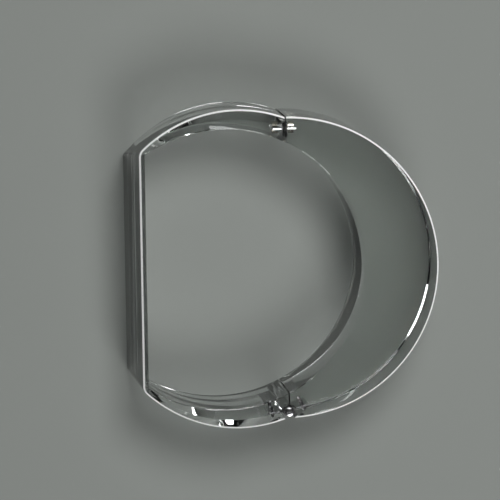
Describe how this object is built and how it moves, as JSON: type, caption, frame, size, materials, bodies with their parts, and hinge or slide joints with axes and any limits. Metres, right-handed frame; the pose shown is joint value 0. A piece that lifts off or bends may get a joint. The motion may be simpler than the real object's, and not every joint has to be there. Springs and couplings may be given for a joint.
{
  "type": "hinged bangle",
  "caption": "D-shaped clear acrylic ring in two hinged halves, one a wide crescent and one with a flat side, with a pin hinge and a magnetic clasp.",
  "frame": {"origin": "centre of the bounding box on the plane it rests on, closed", "axes": "+Z along the wrist opening, +X from the flat side to the crescent, +Y from the hinge to the clasp"},
  "size_m": [0.0672, 0.0702, 0.019],
  "materials": {
    "clear_acrylic": "polished, transparent",
    "polished_steel": "fine turned",
    "nickel": "bright nickel plate"
  },
  "bodies": {
    "flat_side": {"clasp_dowel_1": "polished_steel", "clasp_dowel_2": "polished_steel", "clasp_magnet_flat": "nickel", "clasp_plate_flat": "polished_steel", "clasp_screw_flat_1": "polished_steel", "clasp_screw_flat_2": "polished_steel", "flat_half": "clear_acrylic", "hinge_leaf_flat": "polished_steel", "hinge_pin": "polished_steel", "hinge_rivet_flat_1": "polished_steel", "hinge_rivet_flat_2": "polished_steel"},
    "crescent_side": {"clasp_magnet_crescent": "nickel", "clasp_plate_crescent": "polished_steel", "clasp_screw_crescent_1": "polished_steel", "clasp_screw_crescent_2": "polished_steel", "crescent_half": "clear_acrylic", "hinge_leaf_crescent": "polished_steel", "hinge_rivet_crescent_1": "polished_steel", "hinge_rivet_crescent_2": "polished_steel"}
  },
  "joints": [
    {"name": "hinge_turn", "type": "hinge", "parent": "flat_side", "child": "crescent_side", "pos_m": [0.00025, -0.0319, 0], "axis": [0, 0, -1], "range_deg": [0, 70]}
  ]
}
